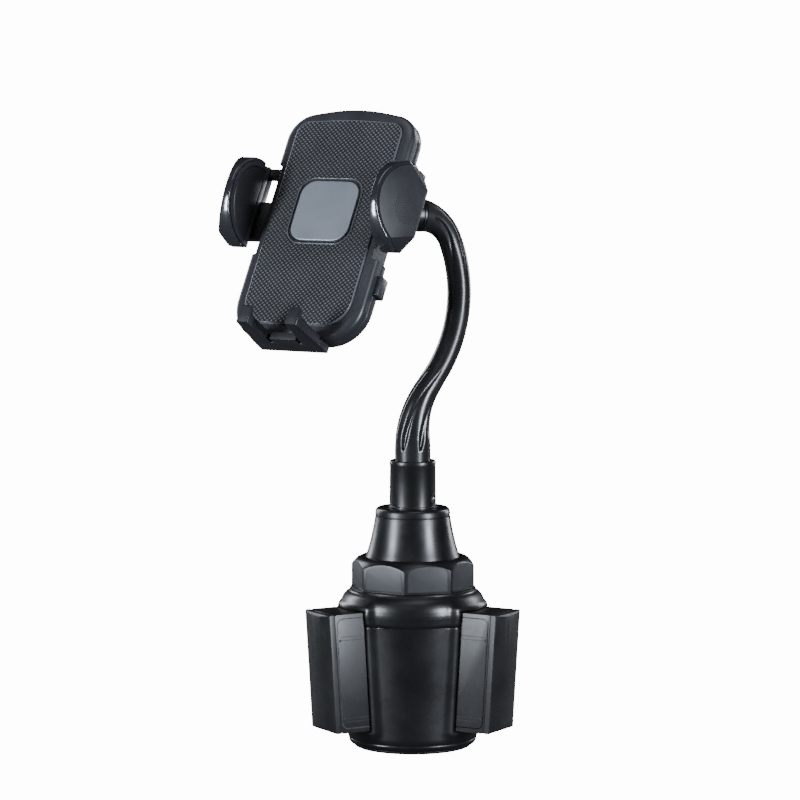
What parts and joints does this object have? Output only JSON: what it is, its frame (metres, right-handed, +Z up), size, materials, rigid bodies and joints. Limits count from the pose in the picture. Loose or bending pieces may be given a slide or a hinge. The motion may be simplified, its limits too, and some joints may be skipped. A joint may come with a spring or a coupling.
{
  "type": "car phone mount",
  "caption": "Cup-holder phone mount: twist-to-expand base with sliding paddles, bendable neck, ball joint and tilting cradle with geared side arms and a foot",
  "frame": {"origin": "centre of the base's flat underside, where it stands", "axes": "+Z up along the base's axis, the phone faces -Y and leans back, +X to the right seen from the phone side"},
  "size_m": [0.1145, 0.1522, 0.2924],
  "materials": {
    "black_plastic": "fine satin grain",
    "grey_plastic": "fine matt texture",
    "charcoal_plastic": "fine satin grain",
    "soft_black": "matt with fine ribs",
    "grip_rubber": "diamond knurl",
    "neck_skin": "smooth, semi-gloss",
    "gloss_trim": "smooth gloss",
    "plate_steel": "satin, blue-grey",
    "steel": "turned",
    "inner_plastic": "as moulded"
  },
  "bodies": {
    "base": {"cup_body": "black_plastic", "cup_lid": "black_plastic", "base_foot_pad": "soft_black", "centre_post": "steel", "guide_plate": "inner_plastic", "lid_screws": "steel", "post_screw": "steel", "cone_cover": "black_plastic", "collar_sleeve": "black_plastic", "collar_set_screw": "steel", "thrust_washer": "black_plastic", "neck_core_0": "steel", "neck_sleeve_0": "neck_skin"},
    "knob": {"twist_nut": "black_plastic", "cam_disc": "inner_plastic", "nut_screws": "steel"},
    "paddle_1": {"paddle_1_box": "grey_plastic", "paddle_1_pad": "soft_black", "paddle_1_pin": "steel"},
    "paddle_2": {"paddle_2_box": "grey_plastic", "paddle_2_pad": "soft_black", "paddle_2_pin": "steel"},
    "paddle_3": {"paddle_3_box": "grey_plastic", "paddle_3_pad": "soft_black", "paddle_3_pin": "steel"},
    "neck_1": {"neck_core_1": "steel", "neck_sleeve_1": "neck_skin"},
    "neck_2": {"neck_core_2": "steel", "neck_sleeve_2": "neck_skin"},
    "neck_3": {"neck_core_3": "steel", "neck_sleeve_3": "neck_skin"},
    "neck_4": {"neck_core_4": "steel", "neck_sleeve_4": "neck_skin", "neck_end_cap": "black_plastic", "ball_stud": "steel"},
    "liner": {"ball_liner": "inner_plastic"},
    "ring": {"pressure_ring": "steel"},
    "cradle": {"ball_socket": "black_plastic", "socket_screws": "steel", "cradle_front": "charcoal_plastic", "cradle_back": "charcoal_plastic", "grip_pad": "grip_rubber", "centre_plate": "plate_steel", "shell_screws": "steel", "pinion_axle": "steel"},
    "clamp": {"clamp_nut": "black_plastic"},
    "pinion": {"arm_pinion": "inner_plastic"},
    "arm_right": {"arm_right_frame": "charcoal_plastic", "arm_right_pad": "soft_black", "arm_right_trim": "gloss_trim"},
    "arm_left": {"arm_left_frame": "charcoal_plastic", "arm_left_pad": "soft_black", "arm_left_trim": "gloss_trim"},
    "button": {"release_button": "charcoal_plastic", "button_spring": "steel"},
    "foot": {"foot_bracket": "charcoal_plastic", "foot_pads": "soft_black"}
  },
  "joints": [
    {"name": "knob_turn", "type": "hinge", "parent": "base", "child": "knob", "pos_m": [0, 0, 0.08], "axis": [0, 0, 1], "range_deg": [-171.8, 0]},
    {"name": "paddle_1_slide", "type": "slide", "parent": "base", "child": "paddle_1", "axis": [1, 0, 0], "range_m": [-0.015, 0]},
    {"name": "paddle_2_slide", "type": "slide", "parent": "base", "child": "paddle_2", "axis": [-0.5, 0.866, 0], "range_m": [-0.015, 0]},
    {"name": "paddle_3_slide", "type": "slide", "parent": "base", "child": "paddle_3", "axis": [-0.5, -0.866, 0], "range_m": [-0.015, 0]},
    {"name": "neck_bend_1", "type": "hinge", "parent": "base", "child": "neck_1", "pos_m": [0, 0, 0.142], "axis": [-0.8348, 0.5505, 0], "range_deg": [-12, 12]},
    {"name": "neck_bend_2", "type": "hinge", "parent": "neck_1", "child": "neck_2", "pos_m": [0.00669, 0.01015, 0.17166], "axis": [0.4509, 0.6839, -0.5736], "range_deg": [-15, 15]},
    {"name": "neck_bend_3", "type": "hinge", "parent": "neck_2", "child": "neck_3", "pos_m": [0.01306, 0.01981, 0.20837], "axis": [-0.8348, 0.5505, 0], "range_deg": [-15, 15]},
    {"name": "neck_bend_4", "type": "hinge", "parent": "neck_3", "child": "neck_4", "pos_m": [0.0105, 0.01592, 0.23234], "axis": [0.5104, 0.7741, 0.3746], "range_deg": [-15, 15]},
    {"name": "head_turn", "type": "hinge", "parent": "neck_4", "child": "liner", "pos_m": [-0.01464, -0.02221, 0.24836], "axis": [0, 0.515, 0.8572], "range_deg": [-60, 3]},
    {"name": "head_tilt", "type": "hinge", "parent": "liner", "child": "ring", "pos_m": [-0.01464, -0.02221, 0.24836], "axis": [1, 0, 0], "range_deg": [-3, 35]},
    {"name": "head_roll", "type": "hinge", "parent": "ring", "child": "cradle", "pos_m": [-0.01464, -0.02221, 0.24836], "axis": [0, -0.8572, 0.515], "range_deg": [-90, 90]},
    {"name": "clamp_nut_turn", "type": "hinge", "parent": "cradle", "child": "clamp", "pos_m": [-0.01464, -0.02221, 0.24836], "axis": [0, -0.8572, 0.515], "range_deg": [-30, 30]},
    {"name": "arm_right_slide", "type": "slide", "parent": "cradle", "child": "arm_right", "axis": [1, 0, 0], "range_m": [-0.004, 0.01]},
    {"name": "arm_left_slide", "type": "slide", "parent": "cradle", "child": "arm_left", "axis": [-1, 0, 0], "range_m": [-0.004, 0.01]},
    {"name": "pinion_turn", "type": "hinge", "parent": "cradle", "child": "pinion", "pos_m": [-0.01464, -0.04055, 0.2553], "axis": [0, -0.8572, 0.515], "range_deg": [-51.5, 128]},
    {"name": "button_press", "type": "slide", "parent": "cradle", "child": "button", "axis": [-1, 0, 0], "range_m": [0, 0.0025], "stiffness_N_per_m": 700, "springref_m": -0.001},
    {"name": "foot_slide", "type": "slide", "parent": "cradle", "child": "foot", "axis": [0, -0.515, -0.8572], "range_m": [0, 0.008]}
  ],
  "couplings": [
    {"joint": "paddle_1_slide", "follows": "knob_turn", "m_per_rad": 0.005},
    {"joint": "paddle_2_slide", "follows": "knob_turn", "m_per_rad": 0.005},
    {"joint": "paddle_3_slide", "follows": "knob_turn", "m_per_rad": 0.005},
    {"joint": "arm_left_slide", "follows": "arm_right_slide", "ratio": 1},
    {"joint": "pinion_turn", "follows": "arm_right_slide", "rad_per_m": 222.22}
  ]
}
